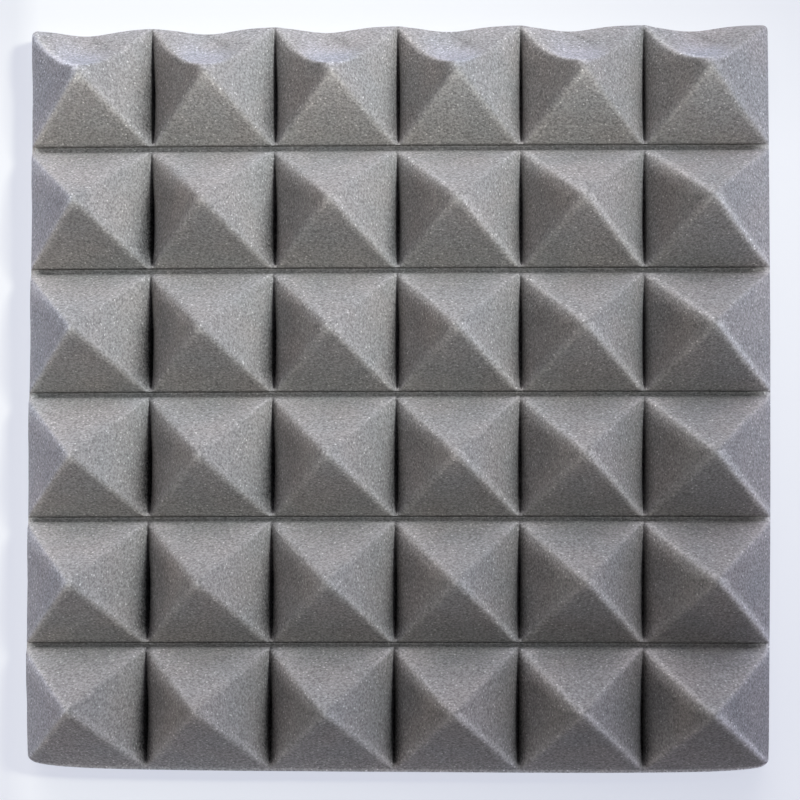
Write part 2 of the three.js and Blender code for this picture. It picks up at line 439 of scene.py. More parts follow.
def line_tones(x, y):
    """How much paler than the faces each quarter's painted ridge line is: painted highlight, or shade below
    0.
    """
    rightwards = x / PATTERN_HALF
    low = np.clip(LOW_LINE_START - y / PATTERN_HALF, 0, 1)
    growth = by_quarter(x, y, BRIGHT_RIDGES) * (LINE_GROWTH * rightwards + LOW_LINE_GROWTH * low)
    growth = growth + by_quarter(x, y, LINE_CORNER_GROWTH) * to_lower_right(x, y)
    top_growth = by_quarter(x, y, TOP_ROW_LINE_GROWTH) * np.clip(rightwards, 0, 1)
    top_tones = by_quarter(x, y, TOP_ROW_LINES) + top_growth
    tones = np.where(in_top_row(y), top_tones, by_quarter(x, y, LINE_TONES) + growth)
    tones = tones + np.where(x < PYRAMID_PITCH - PATTERN_HALF, by_quarter(x, y, LEFT_EDGE_LINES), 0)
    return tones + np.where(x > PATTERN_HALF - HALF_PITCH, by_quarter(x, y, RIGHT_EDGE_LINES), 0)


def painted_ridge_light(x, y):
    """Painted highlight: how much paler a place is on a ridge, or on the shoulder beside an upper left one.
    """
    sideways, upwards = face_distances(x, y)
    least = np.minimum(sideways, upwards)
    apart = (sideways - upwards) / math.sqrt(2) + by_quarter(x, y, (0.0, 0.0, 0.0, LOWER_RIGHT_SHIFT))
    line = line_tones(x, y) * np.exp(-((apart / RIDGE_LINE) ** 2))
    shoulder = (SHOULDER_PALENESS + SHOULDER_GROWTH * x / PATTERN_HALF) * (1 - least / HALF_PITCH)
    shoulder = np.where(in_top_row(y), 0, shoulder * by_quarter(x, y, (1, 0, 0, 0)))
    shoulder = shoulder * np.exp(-(((apart + SHOULDER_PLACE) / SHOULDER_WIDTH) ** 2))
    return (line + shoulder) * (1 - np.exp(-least / LINE_FADE))


def painted_foot_light(x, y):
    """Painted light: how much paler each place is for lying near the foot of a face, or in a strip."""
    up = in_cell(y, PATTERN_SHIFT)
    from_foot = np.where(up > HALF_PITCH, PYRAMID_PITCH - STRIP_WIDTH - up, up)
    corner = to_lower_right(x, y)
    upper_foot = UPPER_FOOT_PALENESS + UPPER_FOOT_GROWTH * corner
    foot = np.where(up > HALF_PITCH, upper_foot, LOWER_FOOT_GROWTH * corner)
    foot = foot * np.exp(-np.abs(from_foot) / FOOT_REACH)
    foot = foot * np.where(np.abs(y) < PATTERN_HALF - HALF_PITCH, 1.0, EDGE_FOOT_SHARE)
    in_strip = np.interp(-from_foot, (0, STRIP_WIDTH), STRIP_TONES) + STRIP_CORNER_GROWTH * corner
    in_strip = in_strip + STRIP_RIGHT_GROWTH * np.clip(x / PATTERN_HALF, 0, 1) ** 2
    return np.where(from_foot < 0, in_strip, foot)


def painted_face_light(x, y):
    """Painted light and shade: how much paler a place is for its face, its height on it and its place on the
    tile.
    """
    sideways, upwards = face_distances(x, y)
    height = np.minimum(sideways, upwards) / HALF_PITCH
    level = np.clip((sideways - upwards) / TONE_BLEND + 0.5, 0, 1)
    rightwards = x / PATTERN_HALF
    across = in_cell(x, 0)
    up = in_cell(y, PATTERN_SHIFT)
    left = np.where((across < HALF_PITCH) & (x > PYRAMID_PITCH - PATTERN_HALF), 1 - level, 0)
    right = np.where(across > HALF_PITCH, 1 - level, 0)
    upper = np.where(up > HALF_PITCH, level, 0)
    lower = np.where(up < HALF_PITCH, level, 0)

    pale = (DEPTH_PALENESS + LEFT_DEPTH_PALENESS * left) * (DEPTH_MIDDLE - height)
    left_growth = LEFT_TONE_GROWTH * np.where(in_top_row(y), TOP_ROW_GROWTH_SHARE, 1.0)
    left_tone = LEFT_TONE + left_growth * rightwards
    left_tone = left_tone + np.where(y < PYRAMID_PITCH - PATTERN_HALF, LEFT_TONE_AT_BOTTOM, 0)
    pale = pale + left * (left_tone + LEFT_TIP_TONE * height)
    pale = pale + right * (RIGHT_TONE + RIGHT_TONE_GROWTH * rightwards)
    pale = pale + (upper + right) * BRIGHT_CORNER_GROWTH * to_lower_right(x, y)
    pale = pale + lower * LOWER_TONE_TWIST * rightwards * y / PATTERN_HALF
    top_row = np.where(up < HALF_PITCH, TOP_ROW_PALENESS * (height + TOP_ROW_START), TOP_ROW_UPPER_PALENESS)
    return pale + np.where(in_top_row(y), top_row * level, 0)


def painted_patch(x, y):
    """A patch of painted cool light above each tip of the top row, from 0 to 1, where the scooped face looks
    past the edge.
    """
    across = in_cell(x, 0) - HALF_PITCH + PATCH_LEFT
    up = (y - PATTERN_SHIFT - PATTERN_HALF) / HALF_PITCH + 1
    above = up - PATCH_HEIGHT + PATCH_SLOPE * across
    patch = np.exp(-((across / PATCH_HALF_WIDTH) ** 4) - (above / PATCH_HALF_HEIGHT) ** 4)
    sideways, upwards = face_distances(x, y)
    on_face = np.clip((sideways - upwards) / TINT_BLEND + PATCH_PAST_RIDGE, 0, 1)
    return np.where(up > 0, patch * on_face, 0)


def lower_rim(y, half_height):
    """1 at the block's lower edge, falling to 0 a few millimetres above it."""
    return np.exp(-(y + half_height) / RIM_REACH)


def painted_face_tints(x, y):
    """Painted tint of light by face: from 1, cool, on the leftmost faces to -1, warm, on the inner left
    ones.
    """
    sideways, upwards = face_distances(x, y)
    side = np.clip((upwards - sideways) / TINT_BLEND + 0.5, 0, 1)
    outermost = PATTERN_HALF - HALF_PITCH
    lowest = np.where(y - PATTERN_SHIFT < -outermost, (1 - side) * (1 - upwards / HALF_PITCH), 0)
    cool = np.where(x < -outermost, side, 0) + LOWEST_COOLNESS * lowest
    cool = cool + RIGHTMOST_COOLNESS * np.where(x > outermost, side, 0)
    inner_left = (in_cell(x, 0) < HALF_PITCH) & (x > -outermost)
    from_ridge = np.clip(LEFT_WARMTH + (upwards - sideways) / WARM_REACH, 0, 1)
    warm = np.where(inner_left, from_ridge * side, 0)
    warm = warm + LOWER_WARMTH * np.where(in_cell(y, PATTERN_SHIFT) < HALF_PITCH, 1 - side, 0)
    return cool - warm


def painted_slit_shade(x, y):
    """Painted shade: how dark each place is for being beside a slit."""
    across = in_cell(x, 0)
    along = in_cell(y, PATTERN_SHIFT) / (PYRAMID_PITCH - STRIP_WIDTH)
    from_valley = HALF_PITCH - np.abs(across - HALF_PITCH)
    leftwards = 1 - SHADE_LEFTWARDS * x / PATTERN_HALF
    downwards = 1 - SHADE_DOWNWARDS * y / PATTERN_HALF
    downwards = downwards * (1 + SHADE_RIGHTWARDS * np.clip(x / PATTERN_HALF, 0, 1))
    narrowing = 1 - SHADE_NARROWING * np.clip(SHADE_NARROWING_START - y / PATTERN_HALF, 0, 1)

    dark_right = np.interp(along, SHADE_PLACES, SHADE_RIGHT) * leftwards
    dark_right = dark_right * np.where(in_top_row(y), SHADE_IN_TOP_ROW, 1.0)
    dark_left = np.interp(along, SHADE_PLACES, SHADE_LEFT) * downwards
    dark = np.minimum(np.where(across > HALF_PITCH, dark_right, dark_left), DARKEST_SHADE)
    width_right = np.interp(along, SHADE_PLACES, SHADE_RIGHT_WIDTH) * leftwards * narrowing
    width_left = np.interp(along, SHADE_PLACES, SHADE_LEFT_WIDTH) * downwards
    width = np.where(across > HALF_PITCH, width_right, width_left)
    inner = (np.abs(x) < PATTERN_HALF - HALF_PITCH) & (along < 1)
    return np.where(inner, dark * np.exp(-((from_valley / width) ** SHADE_FALL)), 0)


def below_foot(y):
    """How far each place lies below the row above its nearest level valley, and whether that has a strip."""
    up = in_cell(y, PATTERN_SHIFT)
    below = np.where(up > HALF_PITCH, PYRAMID_PITCH - up, -up)
    return below, np.abs(y - PATTERN_SHIFT + below) < PATTERN_HALF - HALF_PITCH


def painted_strip_shade(x, y):
    """Painted shade: how dark each place is for lying in the strip at the foot of a row."""
    below, has_strip = below_foot(y)
    from_middle = (below - STRIP_SHADE_MIDDLE * STRIP_WIDTH) / (STRIP_SHADE_REACH * STRIP_WIDTH)
    return np.where(has_strip, STRIP_SHADE * np.exp(-(from_middle**4)) * strip_fade(x), 0)


def slit(x, y):
    """Share of the depth of the slit along an upright valley, and the drop of its lips, in millimetres."""
    across = in_cell(x, 0)
    up = in_cell(y, PATTERN_SHIFT)
    from_valley = HALF_PITCH - np.abs(across - HALF_PITCH)
    low = SLIT_END
    high = PYRAMID_PITCH - STRIP_WIDTH - SLIT_END
    along = np.clip((up - low) / (high - low), 0, 1)
    opening = np.sin(np.pi * along) ** SLIT_FORM
    to_right = across < HALF_PITCH
    left_wall = LEFT_WALL + LEFT_WALL_OPENING * opening * (1 - LEFT_WALL_CLOSING * along)
    half_width = SLIT_WIDTH / 2 * np.where(to_right, RIGHT_WALL, left_wall)
    depth = np.minimum(opening * SLIT_STEEPNESS, 1) * np.interp(along, SLIT_PLACES, SLIT_SHARES)
    cut = depth / (1 + np.exp((from_valley - half_width) / SLIT_EDGE))
    fullness = END_LIP_SHARE + (1 - END_LIP_SHARE) * np.sin(np.pi * along**LIP_FORM)
    width = LIP_WIDTH * fullness * np.where(to_right, RIGHT_LIP_SHARE, 1.0)
    lips = LIP_DROP * fullness * opening * np.exp(-((from_valley / width) ** LIP_FALL))
    inner = np.abs(x) < PATTERN_HALF - HALF_PITCH
    return np.where(inner, cut, 0), np.where(inner, lips, 0)


def strip_fade(x):
    """1 along a level valley, falling to 0 where it runs out at the tile's two sides."""
    reach = np.where(x < 0, STRIP_FADE_LEFT, STRIP_FADE_RIGHT)
    share = np.clip((PATTERN_HALF - 1 - np.abs(x)) / reach, 0, 1)
    return share**2 * (3 - 2 * share)


def strip(x, y):
    """Depth of the notch and strip at the foot of each row but the lowest, and of the next row's foot."""
    below, has_strip = below_foot(y)
    slope = np.clip(below, 0, None) / STRIP_WIDTH * STRIP_DEPTH
    floor = np.where(below < STRIP_WIDTH, slope, 0)
    notch = NOTCH_DEPTH * np.exp(-((below / NOTCH_WIDTH) ** 4))
    past_strip = np.clip(below - STRIP_WIDTH, 0, None)
    foot = np.where(below < STRIP_WIDTH, 0, FOOT_DROP * np.exp(-past_strip / FOOT_WIDTH))
    return np.where(has_strip, (floor + notch + foot) * strip_fade(x), 0)


def scoop(x, y):
    """How far the upper faces of the top row are pushed down the tile, and how deep their wrinkles are."""
    column = np.clip(np.floor((x + PATTERN_HALF) / PYRAMID_PITCH), 0, PYRAMIDS_PER_SIDE - 1)
    from_middle = (column - PYRAMIDS_PER_SIDE / 2) ** 2
    at_edge = SCOOP_AT_EDGE + SCOOP_GROWTH * from_middle
    across = in_cell(x, 0) - HALF_PITCH
    up = np.clip((y - PATTERN_SHIFT - PATTERN_HALF) / HALF_PITCH + 1, 0, 1)
    inside = np.interp(up, SCOOP_SHARES, SCOOP_DEPTHS)
    near_edge = np.clip((up - SCOOP_SHARES[-1]) / (1 - SCOOP_SHARES[-1]), 0, 1)
    depth = inside * (1 - near_edge) + at_edge * near_edge
    width = SCOOP_WIDTH + (SCOOP_WIDTH_AT_EDGE - SCOOP_WIDTH) * up**4
    from_scoop = across + SCOOP_LEFT + SCOOP_LEFT_GROWTH * column
    bell = np.exp(-((from_scoop / width) ** 2))
    to_valley = np.clip((HALF_PITCH - np.abs(across)) / SCOOP_FADE, 0, 1)
    shift = depth * bell * to_valley

    start = np.array(WRINKLE_START)
    run = np.array(WRINKLE_END) - start
    edge = PATTERN_SHIFT + PATTERN_HALF - 2 * TOP_TRIM
    place_x = from_scoop - start[0]
    place_y = y - shift - edge - start[1]
    share = (place_x * run[0] + place_y * run[1]) / (run @ run)
    aside = (place_x * run[1] - place_y * run[0]) / math.sqrt(run @ run)
    along = np.clip(share, 0, 1)
    fade = np.sin(np.pi * (WRINKLE_FORM + (1 - WRINKLE_FORM) * along))
    fade = fade * (np.abs(share - along) < WRINKLE_OVERRUN)
    wrinkle = WRINKLE_DEPTH * fade * np.exp(-((aside / WRINKLE_WIDTH) ** 2))
    upper = y > PATTERN_SHIFT + PATTERN_HALF - HALF_PITCH
    return np.where(upper, shift, 0), np.where(upper, wrinkle, 0)


def stray(factors, x, y):
    """A slow second-order unevenness over the tile."""
    across = np.clip(x / PATTERN_HALF, -STRAY_LIMIT, STRAY_LIMIT)
    up = np.clip(y / PATTERN_HALF, -STRAY_LIMIT, STRAY_LIMIT)
    terms = (1, up, up**2, across, across * up, across**2)
    return sum(factor * term for factor, term in zip(factors, terms))


def lowest_row_lean(x, y, axis):
    """How far the tips of the lowest row lean along one axis, besides what the whole tile does."""
    lean = LOWEST_ROW_LEAN[axis] + LOWEST_ROW_LEAN_GROWTH[axis] * x / PATTERN_HALF
    return np.where(y < PATTERN_SHIFT - PATTERN_HALF + PYRAMID_PITCH, lean, 0)


def keep_edge(place):
    """1 within the tile, falling to 0 at its edge."""
    share = np.clip((np.abs(place) / PATTERN_HALF - STRAY_FREE) / (1 - STRAY_FREE), 0, 1)
    return 1 - share**2 * (3 - 2 * share)


def waves(x, y):
    """Slow unevenness of the cut faces, a few tenths of a millimetre."""
    total = np.zeros_like(x)
    for order, length in enumerate(WAVE_LENGTHS):
        turn = WAVE_TURN + WAVE_TURN_STEP * order
        along = x * math.cos(turn) + y * math.sin(turn)
        aside = y * math.cos(turn) - x * math.sin(turn)
        wave = np.sin(2 * np.pi * along / length + WAVE_PHASE_STEP * order)
        total += wave * np.cos(2 * np.pi * aside / (WAVE_CROSS_SHARE * length))
    return WAVE_HEIGHT * total


def round_corners(x, y, half_width, half_height):
    """Draws the block's square corners in to quarter circles."""
    radius = np.where(y < 0, LOWER_CORNER_RADIUS * CORNER_RADIUS_SHARE, UPPER_CORNER_RADIUS)
    along_x = np.abs(x) - (half_width - radius)
    along_y = np.abs(y) - (half_height - radius)
    corner = (along_x > 0) & (along_y > 0)
    draw = np.maximum(along_x, along_y) / np.maximum(np.hypot(along_x, along_y), 1e-6)
    new_x = np.sign(x) * (half_width - radius + along_x * draw)
    new_y = np.sign(y) * (half_height - radius + along_y * draw)
    return np.where(corner, new_x, x), np.where(corner, new_y, y)


def bow_edges(x, y, half_width, half_height):
    """Bows the edges by about a millimetre."""
    near_side = np.clip((np.abs(x) - half_width) / BOW_REACH + 1, 0, 1) ** 2
    near_bottom = np.clip((-y - half_height) / BOW_REACH + 1, 0, 1) ** 2
    near_top = np.clip((y - half_height) / BOW_REACH + 1, 0, 1) ** 2
    share = y / half_height
    side = np.where(x < 0, np.interp(share, SIDE_PLACES, LEFT_BOW), np.interp(share, SIDE_PLACES, RIGHT_BOW))
    top = TOP_BOW_START + TOP_BOW * (1 - ((x - TOP_BOW_MIDDLE) / (half_width - TOP_BOW_MIDDLE)) ** 2)
    bottom = BOTTOM_BOW_START + BOTTOM_BOW * (1 - (x / half_width) ** 4)
    bottom = bottom - CORNER_LIFT * np.exp((np.abs(x) - half_width) / CORNER_LIFT_REACH)
    return x + np.sign(x) * near_side * side, y - near_bottom * bottom + near_top * top


def choose_faces(mesh, chosen):
    """Selects the faces of the edited mesh that a list of true and false picks out."""
    bpy.ops.object.mode_set(mode="EDIT")
    bpy.ops.mesh.select_mode(type="FACE")
    bpy.ops.mesh.select_all(action="DESELECT")
    bpy.ops.object.mode_set(mode="OBJECT")
    mesh.polygons.foreach_set("select", chosen)
    bpy.ops.object.mode_set(mode="EDIT")


def cut_along_ridges(mesh):
    """Cuts the grid's squares into triangles, those of each quarter of a pyramid along its own ridge."""
    for method in ("FIXED", "FIXED_ALTERNATE"):
        lean = np.zeros(len(mesh.vertices), np.float32)
        mesh.attributes["quarter"].data.foreach_get("value", lean)
        rising = np.array([lean[list(face.vertices)].mean() > 0 for face in mesh.polygons])
        choose_faces(mesh, rising if method == "FIXED" else ~rising)
        bpy.ops.mesh.quads_convert_to_tris(quad_method=method)
        bpy.ops.object.mode_set(mode="OBJECT")


def close_block(low):
    """Draws the rim down to the flat back in even steps, and closes the back."""
    bpy.ops.object.mode_set(mode="EDIT")
    bpy.ops.mesh.select_mode(type="EDGE")
    bpy.ops.mesh.select_all(action="DESELECT")
    bpy.ops.mesh.select_non_manifold()
    for step in range(WALL_STEPS, 0, -1):
        keep = (step - 1) / step
        bpy.ops.mesh.extrude_region_move()
        bpy.ops.transform.resize(value=(1, 1, keep), center_override=(0, 0, low))
    bpy.ops.mesh.edge_face_add()
    bpy.ops.mesh.select_all(action="SELECT")
    bpy.ops.mesh.normals_make_consistent(inside=False)
    bpy.ops.object.mode_set(mode="OBJECT")


def store_values(mesh, name, values):
    """Keeps one value for each corner point of the mesh, for its material to read."""
    layer = mesh.attributes.new(name, "FLOAT", "POINT")
    layer.data.foreach_set("value", values.astype(np.float32))


def make_walls_plain(mesh, first_wall_point):
    """Takes the painted light, tint and shade of the face off the walls and the back, whose points come
    after those of the face.
    """
    for name in ("painted_light_and_shade", "painted_tint", "shade"):
        values = np.zeros(len(mesh.vertices), np.float32)
        mesh.attributes[name].data.foreach_get("value", values)
        values[first_wall_point:] = 0
        mesh.attributes[name].data.foreach_set("value", values)


def make_foam():
    """The foam block: a fine grid sculpted into the pyramid face, its rim drawn down to the flat back."""
    low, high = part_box("foam_tile")
    half_width = (high.x - low.x) / 2 / MM
    half_height = (high.y - low.y) / 2 / MM
    back = low.z / MM
    side_half = half_lines(SIDE_FOOT, COLUMN_PLACES)
    columns = grid_lines(half_width, 0, side_half, side_half)
    lower_half = half_lines(LOWER_FOOT, ROW_PLACES_ABOVE)
    upper_half = half_lines(UPPER_FOOT, ROW_PLACES_BELOW)
    rows = grid_lines(half_height, PATTERN_SHIFT, lower_half, upper_half)

    clear_selection()
    bpy.ops.mesh.primitive_grid_add(
        x_subdivisions=len(columns) - 1, y_subdivisions=len(rows) - 1, size=1.0
    )
    foam = bpy.context.object
    foam.name = "foam_block"
    mesh = foam.data
    co = np.zeros(len(mesh.vertices) * 3, np.float32)
    mesh.vertices.foreach_get("co", co)
    co = co.reshape(-1, 3)
    column = np.rint((co[:, 0] + 0.5) * (len(columns) - 1)).astype(int)
    row = np.rint((co[:, 1] + 0.5) * (len(rows) - 1)).astype(int)
    x = columns[column]
    y = rows[row]
    cut, lips = slit(x, y)
    shift, wrinkle = scoop(x, y)
    from_rim = np.minimum(half_width - np.abs(x), half_height - np.abs(y))
    rim = RIM_ROUNDING * np.exp(-((from_rim / RIM_WIDTH) ** 2))
    pyramids = pyramid_rise(x, y)
    rise = pyramids - SLIT_DEPTH * cut - lips - strip(x, y) - wrinkle - rim
    lean = pyramids / PYRAMID_HEIGHT
    face_x, face_y = round_corners(x, y, half_width, half_height)
    face_x, face_y = bow_edges(face_x, face_y, half_width, half_height)
    lean_x = stray(LEAN_X, x, y) + lowest_row_lean(x, y, 0)
    face_x = face_x + keep_edge(x) * stray(STRAY_X, x, y) + lean * lean_x
    lean_y = stray(LEAN_Y, x, y) + np.where(in_top_row(y), TOP_ROW_LEAN, 0) + lowest_row_lean(x, y, 1)
    face_y = face_y + keep_edge(y) * stray(STRAY_Y, x, y) + lean * lean_y - shift
    co[:, 0] = face_x * MM
    co[:, 1] = face_y * MM
    co[:, 2] = (back + SLAB_THICKNESS + rise + waves(x, y)) * MM
    mesh.vertices.foreach_set("co", co.ravel())
    mesh.update()
    # Painted light and shade, and the painted tint of the light, stored on the face for its material to read
    patch = painted_patch(x, y)
    at_rim = lower_rim(y, half_height)
    pale = painted_ridge_light(x, y) + painted_foot_light(x, y) + painted_face_light(x, y)
    store_values(mesh, "painted_light_and_shade", pale + PATCH_PALENESS * patch + RIM_PALENESS * at_rim)
    store_values(mesh, "painted_tint", np.clip(patch + painted_face_tints(x, y) + at_rim, -1, 1))
    # Painted shade beside the slits, in the strips and along the wrinkles
    dark = painted_slit_shade(x, y) + painted_strip_shade(x, y)
    store_values(mesh, "shade", dark + WRINKLE_SHADE * wrinkle / WRINKLE_DEPTH)
    across = in_cell(x, 0) - HALF_PITCH
    up = in_cell(y, PATTERN_SHIFT) - HALF_PITCH
    store_values(mesh, "quarter", np.sign(across) * np.sign(up))

    cut_along_ridges(mesh)
    mesh.attributes.remove(mesh.attributes["quarter"])
    face_points = len(mesh.vertices)
    close_block(low.z)
    make_walls_plain(mesh, face_points)
    bpy.ops.object.shade_smooth_by_angle(angle=math.radians(SHARP_FOAM))
    return foam


# Pads and liners


def pad_outline():
    """A flat square with rounded corners, the size of a pad, at the origin and selected in edit mode."""
    clear_selection()
    bpy.ops.mesh.primitive_plane_add(size=PAD_SIDE * MM)
    bpy.ops.object.mode_set(mode="EDIT")
    bpy.ops.mesh.select_mode(type="VERT")
    bpy.ops.mesh.bevel(offset=PAD_CORNER * MM, segments=6, affect="VERTICES")


def make_pad(depth):
    """A foam-tape pad: its soft middle bulges out between the two adhesive films."""
    film = 0.12 * depth
    bulge = PAD_BULGE * MM
    pad_outline()
    bpy.ops.mesh.select_all(action="SELECT")
    levels = ((0, film), (bulge, film), (bulge, depth - 4 * film), (-bulge, film), (-bulge, film))
    half = PAD_SIDE / 2 * MM
    reach = half
    for outwards, rise in levels:
        bpy.ops.mesh.extrude_region_move(TRANSFORM_OT_translate={"value": (0, 0, rise)})
        wider = (reach + outwards) / reach
        bpy.ops.transform.resize(value=(wider, wider, 1), center_override=(0, 0, 0))
        reach = reach + outwards
    bpy.ops.mesh.select_all(action="SELECT")
    bpy.ops.mesh.normals_make_consistent(inside=False)
    bpy.ops.object.mode_set(mode="OBJECT")
    bpy.ops.object.shade_smooth_by_angle(angle=math.radians(SHARP_TAPE))
    return bpy.context.object


def make_liner(depth):
    """A paper liner with a finger tab that curls up a little."""
    half = PAD_SIDE / 2 * MM
    tab_half = TAB_WIDTH / 2 * MM
    steps = 8
    pad_outline()
    for side in (-1, 1):
        bpy.ops.mesh.select_all(action="SELECT")
        bpy.ops.mesh.bisect(plane_co=(0, side * tab_half, 0), plane_no=(0, 1, 0))
    liner = bpy.context.object
    bpy.ops.mesh.select_mode(type="EDGE")
    bpy.ops.mesh.select_all(action="DESELECT")
    bpy.ops.object.mode_set(mode="OBJECT")
    mesh = liner.data
    for edge in mesh.edges:
        ends = [mesh.vertices[v].co for v in edge.vertices]
        edge.select = all(e.x > half - 1e-6 and abs(e.y) < tab_half + 1e-6 for e in ends)
    bpy.ops.object.mode_set(mode="EDIT")
    for step in range(1, steps):
        turn = math.pi / 2 * step / steps
        before = math.pi / 2 * (step - 1) / steps
        out = TAB_LENGTH * MM * (math.sin(turn) - math.sin(before))
        rise = TAB_CURL * MM * (math.sin(turn) ** 2 - math.sin(before) ** 2)
        bpy.ops.mesh.extrude_region_move(TRANSFORM_OT_translate={"value": (out, 0, rise)})
        narrower = math.cos(turn) / math.cos(before)
        bpy.ops.transform.resize(value=(1, narrower, 1), center_override=(0, 0, 0))
    bpy.ops.mesh.select_all(action="SELECT")
    bpy.ops.mesh.extrude_region_move(TRANSFORM_OT_translate={"value": (0, 0, depth)})
    bpy.ops.mesh.select_all(action="SELECT")
    bpy.ops.mesh.normals_make_consistent(inside=False)
    bpy.ops.object.mode_set(mode="OBJECT")
    bpy.ops.object.shade_smooth_by_angle(angle=math.radians(SHARP_PAPER))
    return liner


def place_copy(first, name, place, turned):
    """A copy of a finished piece with its own mesh, set at a place, and turned half round if asked."""
    piece = first.copy()
    piece.data = first.data.copy()
    piece.name = name
    bpy.context.scene.collection.objects.link(piece)
    piece.location = place
    piece.rotation_euler = (0, 0, math.pi if turned else 0)
    clear_selection()
    piece.select_set(True)
    bpy.context.view_layer.objects.active = piece
    bpy.ops.object.transform_apply(location=True, rotation=True, scale=True)
    return piece


def make_pads_and_liners(tape, paper):
    """Five pads and five liners, each a copy of one that is modelled once."""
    pad_low, pad_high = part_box("mounting_pad_centre")
    liner_low, liner_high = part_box("release_liner_centre")
    first_pad = make_pad(pad_high.z - pad_low.z)
    first_liner = make_liner(liner_high.z - liner_low.z)
    first_pad.data.materials.append(tape)
    first_liner.data.materials.append(paper)
    for place in PLACES:
        low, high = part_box(f"mounting_pad_{place}")
        middle = (low + high) / 2
        turned = middle.x > PAD_SIDE * MM / 2
        pad = place_copy(first_pad, f"tape_pad_{place}", (middle.x, middle.y, low.z), turned)
        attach(pad, "root")
        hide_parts(f"mounting_pad_{place}")
        liner = place_copy(first_liner, f"paper_liner_{place}", (middle.x, middle.y, liner_low.z), turned)
        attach(liner, "root")
        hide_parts(f"release_liner_{place}")
    bpy.data.objects.remove(first_pad)
    bpy.data.objects.remove(first_liner)


# Materials


def add_node(tree, kind, place, settings=None, inputs=None):
    """A node in a column and row of the tree, with its settings and the values of its free sockets."""
    node = tree.nodes.new(kind)
    node.location = (place[0] * 200, -place[1] * 180)
    for name, value in (settings or {}).items():
        setattr(node, name, value)
    for name, value in (inputs or {}).items():
        node.inputs[name].default_value = value
    return node


def calculate(tree, place, operation, first, second):
    """A Math node. Each side is a number or another node's output."""
    node = add_node(tree, "ShaderNodeMath", place, {"operation": operation})
    for socket, value in zip(node.inputs, (first, second)):
        if isinstance(value, (int, float)):
            socket.default_value = value
        else:
            tree.links.new(value, socket)
    return node.outputs["Value"]


def spread(tree, place, value, low, high, to_low, to_high, smooth=False):
    """A Map Range node: low and high become to_low and to_high, and nothing goes past them."""
    kind = "SMOOTHSTEP" if smooth else "LINEAR"
    node = add_node(tree, "ShaderNodeMapRange", place, {"interpolation_type": kind})
    for socket, number in zip(node.inputs[1:5], (low, high, to_low, to_high)):
        socket.default_value = number
    tree.links.new(value, node.inputs["Value"])
    return node.outputs["Result"]


def mix_colors(tree, place, blend, factor, first, second):
    """A colour Mix node. The factor is a number or an output, and each side is a colour or an output."""
    node = add_node(tree, "ShaderNodeMix", place, {"data_type": "RGBA", "blend_type": blend})
    for socket, value in ((node.inputs[0], factor), (node.inputs[6], first), (node.inputs[7], second)):
        if isinstance(value, bpy.types.NodeSocket):
            tree.links.new(value, socket)
        elif isinstance(value, tuple):
            socket.default_value = (*value, 1)
        else:
            socket.default_value = value
    return node.outputs[2]


def open_cells_group():
    """Speckle of open foam cells: blobs of light and shade, pores between struts, a few bright struts."""
    tree = bpy.data.node_groups.new("open_cells", "ShaderNodeTree")
    sockets = (
        ("Place", "INPUT", "NodeSocketVector", None),
        ("Cells per Metre", "INPUT", "NodeSocketFloat", 1000.0),
        ("Speckle", "INPUT", "NodeSocketFloat", 0.3),
        ("Tone", "OUTPUT", "NodeSocketFloat", None),
        ("Relief", "OUTPUT", "NodeSocketFloat", None),
    )
    for name, side, kind, value in sockets:
        socket = tree.interface.new_socket(name, in_out=side, socket_type=kind)
        if value is not None:
            socket.default_value = value
    inside = add_node(tree, "NodeGroupInput", (0, 0))
    outside = add_node(tree, "NodeGroupOutput", (8, 0))
    place = inside.outputs["Place"]
    cells = inside.outputs["Cells per Metre"]

    blobs = add_node(tree, "ShaderNodeTexNoise", (2, 0), None, {"Detail": 1.0, "Roughness": 0.6})
    tree.links.new(place, blobs.inputs["Vector"])
    tree.links.new(cells, blobs.inputs["Scale"])
    blob = spread(tree, (3, 0), blobs.outputs["Fac"], 0.3, 0.7, -1.0, 1.0)

    pores = add_node(tree, "ShaderNodeTexVoronoi", (2, 1))
    tree.links.new(place, pores.inputs["Vector"])
    tree.links.new(calculate(tree, (1, 1), "MULTIPLY", cells, 1.3), pores.inputs["Scale"])
    pore = spread(tree, (3, 1), pores.outputs["Distance"], 0.1, 0.75, -1.0, 1.0)

    struts = add_node(tree, "ShaderNodeTexVoronoi", (2, 2))
    tree.links.new(place, struts.inputs["Vector"])
    tree.links.new(calculate(tree, (1, 2), "MULTIPLY", cells, 0.42), struts.inputs["Scale"])
    strut = spread(tree, (3, 2), struts.outputs["Distance"], 0.08, 0.19, 1.0, 0.0, smooth=True)

    both = calculate(tree, (4, 0), "ADD", blob, calculate(tree, (4, 1), "MULTIPLY", pore, 0.5))
    uneven = calculate(tree, (5, 0), "ADD", both, calculate(tree, (5, 2), "MULTIPLY", strut, 3.4))
    scaled = calculate(tree, (6, 0), "MULTIPLY", uneven, inside.outputs["Speckle"])
    tree.links.new(calculate(tree, (7, 0), "ADD", scaled, 1.0), outside.inputs["Tone"])
    tree.links.new(both, outside.inputs["Relief"])
    return tree


def new_material(name, roughness, specular):
    """A material with its shader, and the object's own coordinates for its patterns."""
    material = bpy.data.materials.new(name)
    material.use_nodes = True
    tree = material.node_tree
    shader = tree.nodes["Principled BSDF"]
    shader.location = (2200, 0)
    tree.nodes["Material Output"].location = (2600, 0)
    shader.inputs["Roughness"].default_value = roughness
    shader.inputs["Specular IOR Level"].default_value = specular
    place = add_node(tree, "ShaderNodeTexCoord", (0, 0)).outputs["Object"]
    return material, tree, shader, place


def place_group(tree, group, place, coordinates, values):
    """A node group in a material, with its own values."""
    node = add_node(tree, "ShaderNodeGroup", place, {"node_tree": group}, values)
    tree.links.new(coordinates, node.inputs["Place"])
    return node


